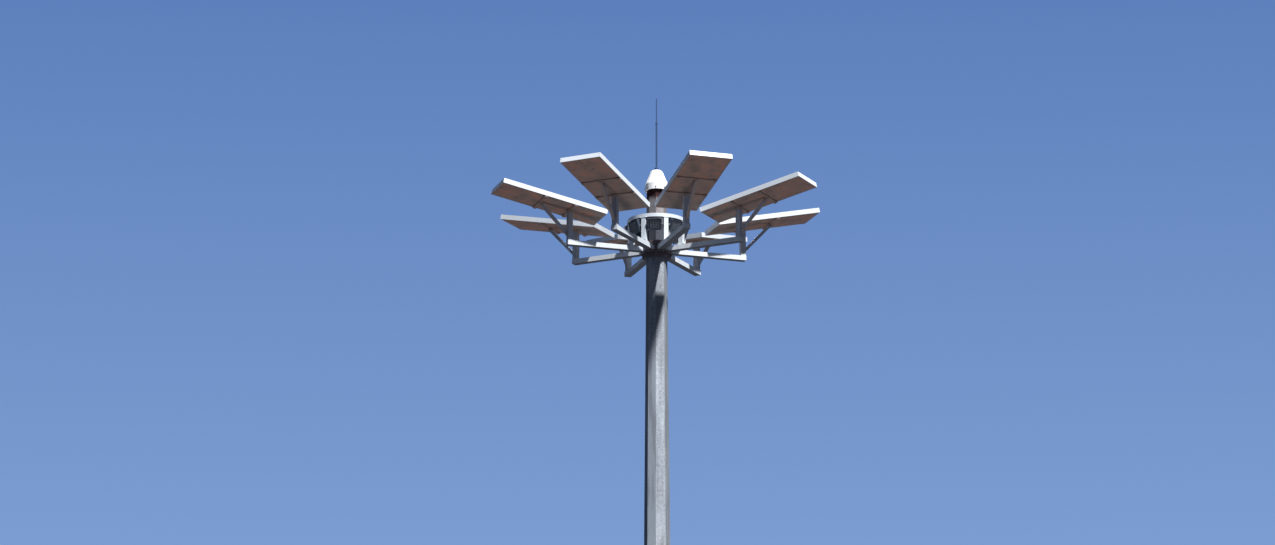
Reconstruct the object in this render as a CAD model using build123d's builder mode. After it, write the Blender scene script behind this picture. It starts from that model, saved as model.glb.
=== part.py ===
import os
from math import cos, sin, tan, radians

from build123d import *

os.makedirs("parts", exist_ok=True)

# Millimetres, +Z up. The origin is the centre of the base flange's bottom face.
# One arm points along +X, and the eight arms stand 45 degrees apart.
SIDES = 8
STEP = 360 / SIDES
CORNER_TURN = STEP / 2

# Octagonal shaft in two sections joined by a slip joint.
MAST_TOP = 15000
HUB = MAST_TOP - 385
TOP_FLATS = 204
NARROWING = 0.0145
SIDE_SLOPE = 0.41539
LOWER_WALL = 6
UPPER_WALL = 5
CORNER_RADIUS = 12
SLIP_GAP = 0.3
SLIP_START = 7400
SLIP_END = 8000

# Base flange with its anchor holes and stiffeners.
FLANGE_RADIUS = 330
FLANGE_THICK = 30
ANCHOR_CIRCLE = 280
ANCHOR_HOLE_RADIUS = 19.5
GUSSET_REACH = 312
GUSSET_HEIGHT = 190
GUSSET_THICK = 12
GUSSET_TOE = 20

# Inspection door low on the face towards -Y.
DOOR_MIDDLE = 900
DOOR_WIDTH = 110
DOOR_HEIGHT = 460
DOOR_FRAME_WALL = 10
DOOR_FRAME_PROUD = 8
DOOR_FRAME_DEPTH = 14
DOOR_THICK = 4
DOOR_CORNER = 30

# Hub: an octagonal sleeve round the shaft, with a collar plate under and over the arms.
SLEEVE_WALL = 32
SLEEVE_GAP = 0.3
ARM_BOTTOM = -320
ARM_HEIGHT = 51
ARM_WIDTH = 76
COLLAR_THICK = 10
COLLAR_REACH = 34
SLEEVE_BELOW = 70
SLEEVE_ABOVE = 60
HUB_RIB_THICK = 10

# Inner posts and the ring on top of them.
POST_RADIUS = 300
POST_SIZE = 50
POST_TOP = 5
TOP_RING_HEIGHT = 40
TOP_RING_WIDTH = 40

# Panels: 1.2 m long, tilted up towards their outer ends.
PANEL_START = 645
PANEL_LENGTH = 1200
PANEL_WIDTH = 475
PANEL_DEPTH = 52
PANEL_TILT = 11.9
FRAME_WALL = 4
FRAME_LIP = 14
FRAME_LIP_THICK = 3
FRAME_TOP_LIP = 12
FRAME_TOP_THICK = 2
SHEET_THICK = 5
BACK_THICK = 3
BACK_RAISE = 3

# Bracket between arm and panel: outer post, strut and two cross rails.
RAIL_SIZE = 30
RAIL_THICK = 10
RAIL_INSET = 4
INNER_RAIL = PANEL_START + 0.292 * PANEL_LENGTH
OUTER_RAIL = PANEL_START + 0.571 * PANEL_LENGTH
OUTER_POST_SIZE = 56
OUTER_POST_IN = INNER_RAIL - OUTER_POST_SIZE / 2
ARM_END = OUTER_POST_IN + OUTER_POST_SIZE
STRUT_WIDTH = 30
STRUT_THICK = 24
STRUT_FOOT_HEIGHT = 68

# Floodlights between the inner posts, hung from the ring and facing out and down.
LAMP_WIDTH = 150
LAMP_HEIGHT = 130
LAMP_DEPTH = 64
LAMP_TILT = 20
LAMP_MIDDLE = -75
LAMP_WINDOW = (126, 104)
LAMP_WINDOW_DEPTH = 5
LAMP_EDGE = 8
LAMP_FIN_DEPTH = 22
LAMP_FIN_THICK = 5
LAMP_FINS = 8
LAMP_FIN_PITCH = (LAMP_WIDTH - 2 * LAMP_EDGE - LAMP_FIN_THICK) / (LAMP_FINS - 1)
YOKE_WIDTH = 30
YOKE_THICK = 4
YOKE_BELOW = 12

# Cap and lightning rod.
CAP_RIM_RADIUS = 127
CAP_RIM_BOTTOM = MAST_TOP - 5
CAP_RIM_TOP = MAST_TOP + 70
CAP_SHOULDER_RADIUS = 66
CAP_SHOULDER = MAST_TOP + 215
CAP_TOP_RADIUS = 50
CAP_TOP = MAST_TOP + 232
CAP_WALL = 3
ROD_SOCKET_RADIUS = 22
ROD_SOCKET_HEIGHT = 34
ROD_LOWER_RADIUS = 9.5
ROD_UPPER_RADIUS = 6
ROD_CHANGE = CAP_TOP + 543
ROD_TIP = CAP_TOP + 853


def upper_flats(height):
    return TOP_FLATS + NARROWING * (MAST_TOP - height)


def lower_flats(height):
    return upper_flats(height) - 2 * (UPPER_WALL + SLIP_GAP)


def radial(turn):
    return (cos(radians(turn)), sin(radians(turn)), 0)


def upright_plane(turn):
    # Sketch plane with x outwards along an arm and y straight up from hub level.
    return Plane(
        origin=(0, 0, HUB),
        x_dir=radial(turn),
        z_dir=(sin(radians(turn)), -cos(radians(turn)), 0),
    )


def panel_plane(turn):
    # Sketch plane on a panel's underside, x outwards along it from its inner end.
    lean = radians(PANEL_TILT)
    way = radial(turn)
    return Plane(
        origin=(PANEL_START * way[0], PANEL_START * way[1], HUB),
        x_dir=(way[0] * cos(lean), way[1] * cos(lean), sin(lean)),
        z_dir=(-way[0] * sin(lean), -way[1] * sin(lean), cos(lean)),
    )


def lamp_plane(turn):
    # Sketch plane through a lamp's middle, x along the ring and y up the lamp's face.
    lean = radians(LAMP_TILT)
    way = radial(turn)
    return Plane(
        origin=(POST_RADIUS * way[0], POST_RADIUS * way[1], HUB + LAMP_MIDDLE),
        x_dir=(-way[1], way[0], 0),
        z_dir=(way[0] * cos(lean), way[1] * cos(lean), -sin(lean)),
    )


def underside(radius):
    return (radius - PANEL_START) * tan(radians(PANEL_TILT))


def save(piece, name):
    piece.part.label = name
    export_step(piece.part, "parts/" + name + ".step")


# Base flange with eight anchor holes between the stiffeners.
with BuildPart() as base_flange:
    Cylinder(FLANGE_RADIUS, FLANGE_THICK, align=(Align.CENTER, Align.CENTER, Align.MIN))
    chamfer(base_flange.edges().group_by(Axis.Z)[-1], 3)
    with Locations((0, 0, FLANGE_THICK)):
        with PolarLocations(ANCHOR_CIRCLE, SIDES, start_angle=CORNER_TURN):
            Hole(ANCHOR_HOLE_RADIUS)
save(base_flange, "base_flange")

# Stiffeners from the flange up the middle of each shaft face.
gusset_foot = lower_flats(FLANGE_THICK) / 2
gusset_head = lower_flats(FLANGE_THICK + GUSSET_HEIGHT) / 2
with BuildPart() as base_gussets:
    for index in range(SIDES):
        with BuildSketch(upright_plane(index * STEP).offset(-GUSSET_THICK / 2)):
            with BuildLine():
                Polyline(
                    (gusset_foot, FLANGE_THICK - HUB),
                    (GUSSET_REACH, FLANGE_THICK - HUB),
                    (GUSSET_REACH, FLANGE_THICK + GUSSET_TOE - HUB),
                    (gusset_head + GUSSET_TOE, FLANGE_THICK + GUSSET_HEIGHT - HUB),
                    (gusset_head, FLANGE_THICK + GUSSET_HEIGHT - HUB),
                    close=True,
                )
            make_face()
        extrude(amount=GUSSET_THICK)
save(base_gussets, "base_gussets")

# The door plane lies on the lower section's face towards -Y and leans with it.
door_face = lower_flats(DOOR_MIDDLE) / 2
door_plane = Plane(
    origin=(0, -door_face, DOOR_MIDDLE),
    x_dir=(1, 0, 0),
    z_dir=(0, -cos(radians(SIDE_SLOPE)), sin(radians(SIDE_SLOPE))),
)

# Lower shaft section, open inside, with the door opening.
with BuildPart() as shaft_lower:
    with BuildSketch(Plane.XY.offset(FLANGE_THICK)):
        RegularPolygon(lower_flats(FLANGE_THICK) / 2, SIDES, major_radius=False, rotation=CORNER_TURN)
    extrude(amount=SLIP_END - FLANGE_THICK, taper=SIDE_SLOPE)
    fillet(shaft_lower.edges().filter_by(lambda edge: edge.length > SLIP_START), CORNER_RADIUS)
    with BuildSketch(Plane.XY.offset(FLANGE_THICK)):
        RegularPolygon(
            lower_flats(FLANGE_THICK) / 2 - LOWER_WALL, SIDES, major_radius=False, rotation=CORNER_TURN
        )
    extrude(amount=SLIP_END - FLANGE_THICK, taper=SIDE_SLOPE, mode=Mode.SUBTRACT)
    with BuildSketch(door_plane.offset(-2 * LOWER_WALL)):
        RectangleRounded(DOOR_WIDTH, DOOR_HEIGHT, DOOR_CORNER)
    extrude(amount=4 * LOWER_WALL, mode=Mode.SUBTRACT)
save(shaft_lower, "shaft_lower")

# Upper shaft section, slipped down over the head of the lower one.
with BuildPart() as shaft_upper:
    with BuildSketch(Plane.XY.offset(SLIP_START)):
        RegularPolygon(upper_flats(SLIP_START) / 2, SIDES, major_radius=False, rotation=CORNER_TURN)
    extrude(amount=MAST_TOP - SLIP_START, taper=SIDE_SLOPE)
    fillet(
        shaft_upper.edges().filter_by(lambda edge: edge.length > MAST_TOP - SLIP_END), CORNER_RADIUS
    )
    with BuildSketch(Plane.XY.offset(SLIP_START)):
        RegularPolygon(
            upper_flats(SLIP_START) / 2 - UPPER_WALL, SIDES, major_radius=False, rotation=CORNER_TURN
        )
    extrude(amount=MAST_TOP - SLIP_START, taper=SIDE_SLOPE, mode=Mode.SUBTRACT)
save(shaft_upper, "shaft_upper")

# Frame that lines the door opening and stands proud of the shaft face.
with BuildPart() as door_frame:
    with BuildSketch(door_plane.offset(-DOOR_FRAME_DEPTH)):
        RectangleRounded(DOOR_WIDTH, DOOR_HEIGHT, DOOR_CORNER)
        RectangleRounded(
            DOOR_WIDTH - 2 * DOOR_FRAME_WALL,
            DOOR_HEIGHT - 2 * DOOR_FRAME_WALL,
            DOOR_CORNER - DOOR_FRAME_WALL,
            mode=Mode.SUBTRACT,
        )
    extrude(amount=DOOR_FRAME_DEPTH + DOOR_FRAME_PROUD)
save(door_frame, "door_frame")

# Door plate lying on the frame.
with BuildPart() as access_door:
    with BuildSketch(door_plane.offset(DOOR_FRAME_PROUD)):
        RectangleRounded(DOOR_WIDTH, DOOR_HEIGHT, DOOR_CORNER)
    extrude(amount=DOOR_THICK)
save(access_door, "access_door")

# Hub sleeve with its collar plates and ribs.
arm_top = ARM_BOTTOM + ARM_HEIGHT
sleeve_bottom = HUB + ARM_BOTTOM - SLEEVE_BELOW
sleeve_inside = upper_flats(sleeve_bottom) / 2 + SLEEVE_GAP
sleeve_face = sleeve_inside + SLEEVE_WALL
sleeve_height = SLEEVE_BELOW + ARM_HEIGHT + SLEEVE_ABOVE
with BuildPart() as head_hub:
    with BuildSketch(Plane.XY.offset(sleeve_bottom)):
        RegularPolygon(sleeve_face, SIDES, major_radius=False, rotation=CORNER_TURN)
    extrude(amount=sleeve_height)
    for collar_bottom in (ARM_BOTTOM - COLLAR_THICK, arm_top):
        with BuildSketch(Plane.XY.offset(HUB + collar_bottom)):
            Circle(sleeve_face + COLLAR_REACH)
        extrude(amount=COLLAR_THICK)
    for index in range(SIDES):
        with BuildSketch(upright_plane((index + 0.5) * STEP).offset(-HUB_RIB_THICK / 2)):
            with BuildLine():
                Polyline(
                    (sleeve_face, ARM_BOTTOM - SLEEVE_BELOW + 8),
                    (sleeve_face + 14, ARM_BOTTOM - SLEEVE_BELOW + 8),
                    (sleeve_face + COLLAR_REACH - 4, ARM_BOTTOM - COLLAR_THICK),
                    (sleeve_face, ARM_BOTTOM - COLLAR_THICK),
                    close=True,
                )
            make_face()
        extrude(amount=HUB_RIB_THICK)
    with BuildSketch(Plane.XY.offset(sleeve_bottom)):
        RegularPolygon(sleeve_inside, SIDES, major_radius=False, rotation=CORNER_TURN)
    extrude(amount=sleeve_height, mode=Mode.SUBTRACT)
save(head_hub, "head_hub")

# Eight radial arms, each with its inner post standing on it.
for index in range(SIDES):
    with BuildPart() as arm:
        with Locations(Location((0, 0, HUB), (0, 0, index * STEP))):
            with Locations((sleeve_face, 0, ARM_BOTTOM)):
                Box(
                    ARM_END - sleeve_face,
                    ARM_WIDTH,
                    ARM_HEIGHT,
                    align=(Align.MIN, Align.CENTER, Align.MIN),
                )
            with Locations((POST_RADIUS, 0, arm_top)):
                Box(
                    POST_SIZE,
                    POST_SIZE,
                    POST_TOP - arm_top,
                    align=(Align.CENTER, Align.CENTER, Align.MIN),
                )
    save(arm, "arm_" + str(index + 1))

# Square ring on top of the inner posts.
with BuildPart() as upper_ring:
    with BuildSketch(Plane.XY.offset(HUB + POST_TOP)):
        Circle(POST_RADIUS + TOP_RING_WIDTH / 2)
        Circle(POST_RADIUS - TOP_RING_WIDTH / 2, mode=Mode.SUBTRACT)
    extrude(amount=TOP_RING_HEIGHT)
save(upper_ring, "upper_ring")

# Brackets: outer post on the arm, strut, and two rails across the panel's underside.
lean = radians(PANEL_TILT)
strut_head = OUTER_RAIL
for index in range(SIDES):
    turn = index * STEP
    with BuildPart() as bracket:
        with BuildSketch(upright_plane(turn).offset(-OUTER_POST_SIZE / 2)):
            with BuildLine():
                Polyline(
                    (OUTER_POST_IN, arm_top),
                    (OUTER_POST_IN + OUTER_POST_SIZE, arm_top),
                    (
                        OUTER_POST_IN + OUTER_POST_SIZE,
                        underside(OUTER_POST_IN + OUTER_POST_SIZE) - RAIL_THICK / 2,
                    ),
                    (OUTER_POST_IN, underside(OUTER_POST_IN) - RAIL_THICK / 2),
                    close=True,
                )
            make_face()
        extrude(amount=OUTER_POST_SIZE)
        with BuildSketch(upright_plane(turn).offset(-STRUT_WIDTH / 2)):
            with BuildLine():
                Polyline(
                    (ARM_END - 8, arm_top + STRUT_FOOT_HEIGHT + STRUT_THICK * 0.8),
                    (ARM_END - 8, arm_top + STRUT_FOOT_HEIGHT - STRUT_THICK * 0.6),
                    (ARM_END + 6, arm_top + STRUT_FOOT_HEIGHT - STRUT_THICK * 0.5),
                    (strut_head + STRUT_THICK * 0.5, underside(strut_head) - RAIL_THICK - 16),
                    (strut_head + STRUT_THICK * 0.5, underside(strut_head) - RAIL_THICK / 2),
                    (strut_head - STRUT_THICK * 0.6, underside(strut_head - 20) - RAIL_THICK / 2),
                    close=True,
                )
            make_face()
        extrude(amount=STRUT_WIDTH)
        for place in (INNER_RAIL, OUTER_RAIL):
            with BuildSketch(panel_plane(turn).offset(-RAIL_THICK)):
                with Locations(((place - PANEL_START) / cos(lean), 0)):
                    Rectangle(RAIL_SIZE, PANEL_WIDTH - 2 * RAIL_INSET)
            extrude(amount=RAIL_THICK)
    save(bracket, "bracket_" + str(index + 1))

# Panel frames, open below, with a lip at top and bottom.
for index in range(SIDES):
    with BuildPart() as panel_frame:
        with BuildSketch(panel_plane(index * STEP)):
            with Locations((PANEL_LENGTH / 2, 0)):
                Rectangle(PANEL_LENGTH, PANEL_WIDTH)
                Rectangle(
                    PANEL_LENGTH - 2 * FRAME_LIP, PANEL_WIDTH - 2 * FRAME_LIP, mode=Mode.SUBTRACT
                )
        extrude(amount=FRAME_LIP_THICK)
        with BuildSketch(panel_plane(index * STEP).offset(FRAME_LIP_THICK)):
            with Locations((PANEL_LENGTH / 2, 0)):
                Rectangle(PANEL_LENGTH, PANEL_WIDTH)
                Rectangle(
                    PANEL_LENGTH - 2 * FRAME_WALL, PANEL_WIDTH - 2 * FRAME_WALL, mode=Mode.SUBTRACT
                )
        extrude(amount=PANEL_DEPTH - FRAME_LIP_THICK - FRAME_TOP_THICK)
        with BuildSketch(panel_plane(index * STEP).offset(PANEL_DEPTH - FRAME_TOP_THICK)):
            with Locations((PANEL_LENGTH / 2, 0)):
                Rectangle(PANEL_LENGTH, PANEL_WIDTH)
                Rectangle(
                    PANEL_LENGTH - 2 * FRAME_TOP_LIP,
                    PANEL_WIDTH - 2 * FRAME_TOP_LIP,
                    mode=Mode.SUBTRACT,
                )
        extrude(amount=FRAME_TOP_THICK)
    save(panel_frame, "panel_frame_" + str(index + 1))

# The glass sheets at the top of the frames and the back sheets just above the lower lips.
sheet_bottom = PANEL_DEPTH - FRAME_TOP_THICK - SHEET_THICK
with BuildPart() as panel_sheets:
    for index in range(SIDES):
        with BuildSketch(panel_plane(index * STEP).offset(sheet_bottom)):
            with Locations((PANEL_LENGTH / 2, 0)):
                Rectangle(PANEL_LENGTH - 2 * FRAME_WALL, PANEL_WIDTH - 2 * FRAME_WALL)
        extrude(amount=SHEET_THICK)
save(panel_sheets, "panel_sheets")

with BuildPart() as panel_backs:
    for index in range(SIDES):
        with BuildSketch(panel_plane(index * STEP).offset(BACK_RAISE)):
            with Locations((PANEL_LENGTH / 2, 0)):
                Rectangle(PANEL_LENGTH - 2 * FRAME_WALL, PANEL_WIDTH - 2 * FRAME_WALL)
        extrude(amount=BACK_THICK)
save(panel_backs, "panel_backs")

# Floodlights: a finned body with a recessed window, hung from the ring by a yoke.
for index in range(SIDES):
    turn = (index + 0.5) * STEP
    with BuildPart() as floodlight:
        with BuildSketch(lamp_plane(turn).offset(-LAMP_DEPTH / 2)):
            RectangleRounded(LAMP_WIDTH, LAMP_HEIGHT, LAMP_EDGE)
        extrude(amount=LAMP_DEPTH)
        with BuildSketch(lamp_plane(turn).offset(LAMP_DEPTH / 2 - LAMP_WINDOW_DEPTH)):
            Rectangle(*LAMP_WINDOW)
        extrude(amount=LAMP_WINDOW_DEPTH, mode=Mode.SUBTRACT)
        with BuildSketch(lamp_plane(turn).offset(-LAMP_DEPTH / 2 - LAMP_FIN_DEPTH)):
            with GridLocations(LAMP_FIN_PITCH, 0, LAMP_FINS, 1):
                Rectangle(LAMP_FIN_THICK, LAMP_HEIGHT - 2 * LAMP_EDGE)
        extrude(amount=LAMP_FIN_DEPTH)
        with Locations(Location((0, 0, HUB), (0, 0, turn))):
            with Locations((POST_RADIUS, 0, POST_TOP)):
                Box(
                    YOKE_WIDTH,
                    LAMP_WIDTH + 2 * YOKE_THICK,
                    YOKE_THICK,
                    align=(Align.CENTER, Align.CENTER, Align.MAX),
                )
            for side in (-1, 1):
                with Locations((POST_RADIUS, side * (LAMP_WIDTH + YOKE_THICK) / 2, POST_TOP)):
                    Box(
                        YOKE_WIDTH,
                        YOKE_THICK,
                        POST_TOP - LAMP_MIDDLE + YOKE_BELOW,
                        align=(Align.CENTER, Align.CENTER, Align.MAX),
                    )
    save(floodlight, "floodlight_" + str(index + 1))

# Cap: a thin cone with an upright rim, closed by a seat plate on the shaft's end.
with BuildPart() as cap:
    with BuildSketch(Plane.XZ):
        with BuildLine():
            Polyline(
                (0, MAST_TOP),
                (CAP_RIM_RADIUS - CAP_WALL, MAST_TOP),
                (CAP_RIM_RADIUS - CAP_WALL, CAP_RIM_BOTTOM),
                (CAP_RIM_RADIUS, CAP_RIM_BOTTOM),
                (CAP_RIM_RADIUS, CAP_RIM_TOP),
                (CAP_SHOULDER_RADIUS, CAP_SHOULDER),
                (CAP_TOP_RADIUS, CAP_TOP),
                (0, CAP_TOP),
                close=True,
            )
        make_face()
    revolve(axis=Axis.Z)
save(cap, "cap")

# Lightning rod in two diameters, in a socket on the cap.
with BuildPart() as lightning_rod:
    with BuildSketch(Plane.XZ):
        with BuildLine():
            Polyline(
                (0, CAP_TOP),
                (ROD_SOCKET_RADIUS, CAP_TOP),
                (ROD_SOCKET_RADIUS, CAP_TOP + ROD_SOCKET_HEIGHT),
                (ROD_LOWER_RADIUS, CAP_TOP + ROD_SOCKET_HEIGHT + 6),
                (ROD_LOWER_RADIUS, ROD_CHANGE),
                (ROD_UPPER_RADIUS, ROD_CHANGE + 5),
                (ROD_UPPER_RADIUS, ROD_TIP - 30),
                (0, ROD_TIP),
                close=True,
            )
        make_face()
    revolve(axis=Axis.Z)
save(lightning_rod, "lightning_rod")
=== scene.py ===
from math import atan, cos, pi, radians, sin, tan

import bmesh
import bpy
from mathutils import Matrix, Vector


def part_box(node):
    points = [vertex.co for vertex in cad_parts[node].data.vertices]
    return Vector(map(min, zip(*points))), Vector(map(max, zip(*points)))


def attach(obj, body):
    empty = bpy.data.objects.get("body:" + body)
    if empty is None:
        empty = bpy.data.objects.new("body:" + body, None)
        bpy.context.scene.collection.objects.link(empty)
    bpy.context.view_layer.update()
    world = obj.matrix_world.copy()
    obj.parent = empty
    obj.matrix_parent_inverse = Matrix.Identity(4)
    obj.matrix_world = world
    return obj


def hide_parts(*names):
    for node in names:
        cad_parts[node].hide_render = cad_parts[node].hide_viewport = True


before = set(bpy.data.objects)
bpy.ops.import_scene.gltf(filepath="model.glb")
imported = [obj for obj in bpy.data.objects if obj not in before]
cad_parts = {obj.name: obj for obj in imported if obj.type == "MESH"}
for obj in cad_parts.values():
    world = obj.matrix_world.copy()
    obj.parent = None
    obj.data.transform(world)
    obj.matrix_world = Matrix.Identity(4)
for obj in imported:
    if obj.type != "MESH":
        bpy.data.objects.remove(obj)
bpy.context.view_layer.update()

# Metres, +Z up. A plate is given by its three sides, a disc by its radius and height.
# Hub level is the level of the panels' inner ends.
MAST_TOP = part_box("shaft_upper")[1][2]
HUB_DROP = 0.385
HUB = MAST_TOP - HUB_DROP
SIDES = 8
STEP = 360 / SIDES
ARM_TURNS = [index * STEP for index in range(SIDES)]
CORNER_TURNS = [(index + 0.5) * STEP for index in range(SIDES)]

# Octagonal shaft: across flats at the top, and how much it widens for each metre downwards.
TOP_FLATS = 0.204
NARROWING = 0.0145
UPPER_WALL = 0.005
SLIP_GAP = 0.0003
SLIP_START = 7.4

# Ends of the shaft's seam, under and over the slip joint and down from the top.
SEAM_STOP = 0.01
SEAM_RESTART = 0.005
SEAM_TOP_DROP = 0.4

# Sealing bead under the slip joint, with its stop before each corner.
SEAL_DROP = 0.003
SEAL_FACE_DROP = 0.004
SEAL_REACH = 0.002
SEAL_STOP = 0.004

# Base flange with its stiffeners, anchor bolts and earth lug.
FLANGE_THICK = 0.03
GUSSET_REACH = 0.312
GUSSET_HEIGHT = 0.19
GUSSET_THICK = 0.012
FOOT_BEAD_STOP = 0.006
ANCHOR_CIRCLE = 0.28
ANCHOR_WASHER = (0.034, 0.006)
ANCHOR_STUD = (0.018, 0.125)
NUT_HEIGHT = 0.029
LOCK_NUT_HEIGHT = 0.02
EARTH_LUG = (0.05, 0.06, 0.008)
EARTH_LUG_HEIGHT = 0.42

# Door low on the face towards -Y, with its hinges and locks.
DOOR_MIDDLE = 0.9
DOOR_WIDTH = 0.11
DOOR_FACE = 0.012
HINGE_SPREAD = 0.15
HINGE_BARREL = (0.0062, 0.06)
BARREL_REACH = 0.0065
FRAME_LEAF = (0.022, 0.05, 0.003)
FRAME_LEAF_OUT = 0.02
DOOR_LEAF = (0.032, 0.05, 0.003)
DOOR_LEAF_IN = 0.016
HINGE_SCREW_IN = 0.02
HINGE_SCREW_SPREAD = 0.015
LOCK_IN = 0.02
LOCK_PLATE = (0.011, 0.003)
LOCK_KEY = (0.0055, 0.004)

# Head, with heights from hub level.
SLEEVE_FACE = 0.1399
COLLAR_THICK = 0.01
COLLAR_REACH = 0.034
COLLAR_RADIUS = SLEEVE_FACE + COLLAR_REACH
COLLAR_BOLT_INSET = 0.016
COLLAR_BOLT_SPREAD = 0.024
ARM_BOTTOM = -0.32
ARM_TOP = -0.269
ARM_WIDTH = 0.076
ARM_END_PLATE = (0.046, 0.071, 0.003)
POST_RADIUS = 0.3
POST_SIZE = 0.05
POST_TOP = 0.005
POST_FOOT_PLATE = (0.09, 0.072, 0.006)
POST_HEAD_PLATE = (0.056, 0.08, 0.006)
POST_FOOT_BOLTS = (0.036, 0.026)
POST_BEAD_RISE = 0.001
RING_HEIGHT = 0.04

# Brackets at the arms' ends. The inner rail lies on the outer post.
OUTER_POST = 0.9954
OUTER_POST_SIZE = 0.056
OUTER_POST_PLATE = (0.055, 0.074, 0.006)
ARM_END = OUTER_POST + OUTER_POST_SIZE / 2
INNER_RAIL = OUTER_POST
OUTER_RAIL = 1.3302
RAIL_SIZE = 0.03
RAIL_THICK = 0.01
STRUT_WIDTH = 0.03
STRUT_FOOT_OUT = 0.018
STRUT_FOOT_RISE = 0.09
STRUT_HEAD_IN = 0.02
STRUT_HEAD_DROP = 0.03

# Panels, with the underside at hub level at their inner ends.
PANEL_START = 0.645
PANEL_LENGTH = 1.2
PANEL_WIDTH = 0.475
PANEL_DEPTH = 0.052
PANEL_TILT = radians(11.9)
FRAME_WALL = 0.004
FRAME_SCREW = (0.0035, 0.0015)
FRAME_SCREW_INSET = 0.012
FRAME_SCREW_LEVELS = (0.016, 0.036)
GLASS_DROP = 0.002
GLASS_THICK = 0.005
CELLS_ALONG = 12
CELLS_ACROSS = 3
CLIP_LAP = 0.006
CLIP_SIZE = (RAIL_SIZE + 2 * CLIP_LAP, 0.045, 0.004)
CLIP_INSET = 0.03

# Lamps.
LAMP_WIDTH = 0.15
LAMP_DEPTH = 0.064
LAMP_TILT = radians(20)
LAMP_MIDDLE = -0.075
LAMP_SCREW = (0.003, 0.0022)
LAMP_SCREW_SPREAD = (0.066, 0.057)
WINDOW_SIZE = (0.126, 0.104)
WINDOW_DEPTH = 0.005
BEZEL_WIDTH = 0.008
BEZEL_THICK = 0.002
LENS_SIZE = (0.0105, 0.004)
LENS_PITCH = (0.028, 0.024)
LENSES_A_SIDE = 4
YOKE_THICK = 0.004
YOKE_BOLT_SPREAD = 0.03

# Cap and rod.
CAP_HEIGHT = 0.232
CAP_ROLL_RADIUS = 0.1255
CAP_ROLL_TUBE = 0.0035
CAP_ROLL_DROP = 0.0015
CAP_SCREW_RADIUS = 0.127
CAP_SCREW_RISE = 0.02
ROD_PLATE = (0.034, 0.006)
ROD_BOLT_RADIUS = 0.028
ROD_COLLAR = (0.0125, 0.02)
ROD_COLLAR_RISE = 0.538

# Hexagon heads and nuts by their width across flats, with shares of that width.
ROD_SCREW = 0.006
HINGE_SCREW = 0.008
CAP_SCREW = 0.009
M6_HEAD = 0.01
M8_HEAD = 0.013
M10_HEAD = 0.016
M12_HEAD = 0.019
M36_NUT = 0.055
WASHER_SHARE = 0.14
HEAD_SHARE = 0.6
HEAD_EDGE_SHARE = 0.08

# Radii of the weld beads.
SEAL_BEAD = 0.003
FINE_BEAD = 0.004
BROAD_BEAD = 0.005

# Widths of the rounded edges, and the angle past which a smooth surface breaks.
THIN_EDGE = 0.0006
LEAF_EDGE = 0.0008
PLATE_EDGE = 0.001
END_PLATE_EDGE = 0.0012
COLLAR_EDGE = 0.0015
BLOCK_EDGE = 0.002
NUT_EDGE = 0.003
BREAK_ANGLE = radians(35)

# The photo's view, fitted to the panels' corners, the hub and the shaft's edges.
# The hub is over the picture's middle and to the right of it.
PHOTO_WIDTH = 1275
FOCAL_PIXELS = 4245
HUB_UP_PIXELS = 47.5
HUB_ASIDE = radians(0.27)
VIEW_TURN = radians(-18.5)
VIEW_RISE = radians(16.3)
VIEW_DISTANCE = 46.4
VIEW_REACH = 400
SENSOR_WIDTH = 36

# Where the light comes from, turned from the photo's view.
SUN_TURN = radians(37)
SUN_RISE = radians(57)
SIDE_TURN = radians(-40)
SIDE_RISE = radians(50)
BACK_TURN = radians(178)
BACK_RISE = radians(35)

# Sky and floor.
SKY_LOW = (0.2, 0.335, 0.635)
SKY_HIGH = (0.109, 0.212, 0.497)
SKY_SPAN = (0.208, 0.331)
FILL_COLOUR = (0.32, 0.5, 1.0, 1)
FILL_STRENGTH = 0.085
FLOOR_SEEN = (0.27, 0.262, 0.25)
FLOOR_UNSEEN = (0.006, 0.011, 0.022)
FLOOR_REACH = 150

# Stains and dirt on the metal, painted shade on downward faces, the neck, the ring and under the cap,
# and a painted lit face.
UNDERSIDE_SHADE_GREY = (0.05, 0.062, 0.085)
PAINTED_LIGHT_ZINC = (0.8, 0.88, 0.97)
DARK_RUNS = (0.2, 0.21, 0.24)
LIGHT_RUNS = (0.6, 0.66, 0.72)
NECK_PAINTED_SHADE = (0.26, 0.2, 0.19)
RING_PAINTED_SHADE = (0.05, 0.055, 0.078)
CAP_RUST_AND_SHADOW = (0.04, 0.014, 0.014)
FOOT_RUST = (0.2, 0.085, 0.04)
HUB_RUST = (0.11, 0.075, 0.09)
RAIL_SIDE_WARM_SHADE = (0.62, 0.46, 0.39)
RAIL_UNDER_WARM_SHADE = (0.3, 0.225, 0.2)
LIP_PAINTED_SHADE = (0.2, 0.155, 0.14)
PAINTED_LIGHT_FACING = (-0.707, -0.707, 0)


def shifted(place, x=0.0, y=0.0, z=0.0):
    return place @ Matrix.Translation((x, y, z))


def turned(place, angle, axis):
    return place @ Matrix.Rotation(angle, 4, axis)


def facing_out(place):
    # The same spot with z along the old x, and y along the old z.
    return turned(turned(place, pi / 2, "Z"), pi / 2, "X")


def mast_place(turn):
    # x runs out from the mast's axis, z is up from the ground.
    return Matrix.Rotation(radians(turn), 4, "Z")


def arm_place(turn):
    # x runs out along an arm, z is up from hub level.
    return turned(Matrix.Translation((0, 0, HUB)), radians(turn), "Z")


def panel_place(turn):
    # x runs out along a panel's underside, z is square to it.
    tilted = turned(Matrix.Translation((PANEL_START, 0, 0)), -PANEL_TILT, "Y")
    return arm_place(turn) @ tilted


def lamp_front(turn):
    # z points out of the lamp's window, y runs up its face.
    tilted = turned(Matrix.Translation((POST_RADIUS, 0, LAMP_MIDDLE)), LAMP_TILT, "Y")
    return shifted(facing_out(arm_place(turn) @ tilted), z=LAMP_DEPTH / 2)


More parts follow.
